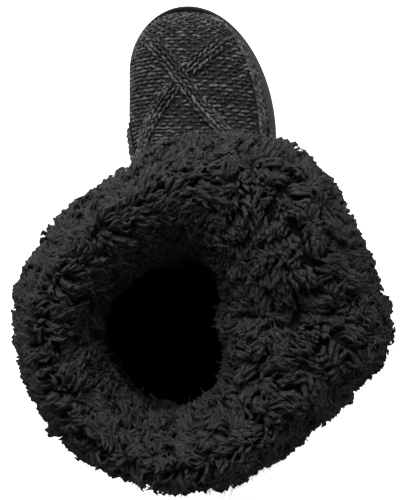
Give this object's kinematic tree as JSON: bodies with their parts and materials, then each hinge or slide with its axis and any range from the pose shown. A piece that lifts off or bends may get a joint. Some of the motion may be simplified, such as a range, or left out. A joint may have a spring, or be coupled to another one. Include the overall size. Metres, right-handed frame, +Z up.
{
  "type": "knitted slipper boot",
  "caption": "Ankle-high slipper boot with a cable-knit upper, a rubber cup sole with a chevron tread, an insole and a deep sherpa cuff folded over the shaft.",
  "frame": {"origin": "on the floor plane, at the middle of the heel's resting face", "axes": "+Z up, +Y towards the toe, +X towards the outer side of the right foot"},
  "size_m": [0.1818, 0.2801, 0.2863],
  "materials": {
    "rubber": "matt black moulded rubber",
    "sock": "black fleece",
    "knit": "thick black and grey marl yarn, knitted in purl rows with raised cables",
    "pile": "charcoal black curly long-pile sherpa"
  },
  "bodies": {
    "root": {"outsole": "rubber", "insole": "sock", "upper": "knit", "cuff": "pile"}
  },
  "joints": []
}
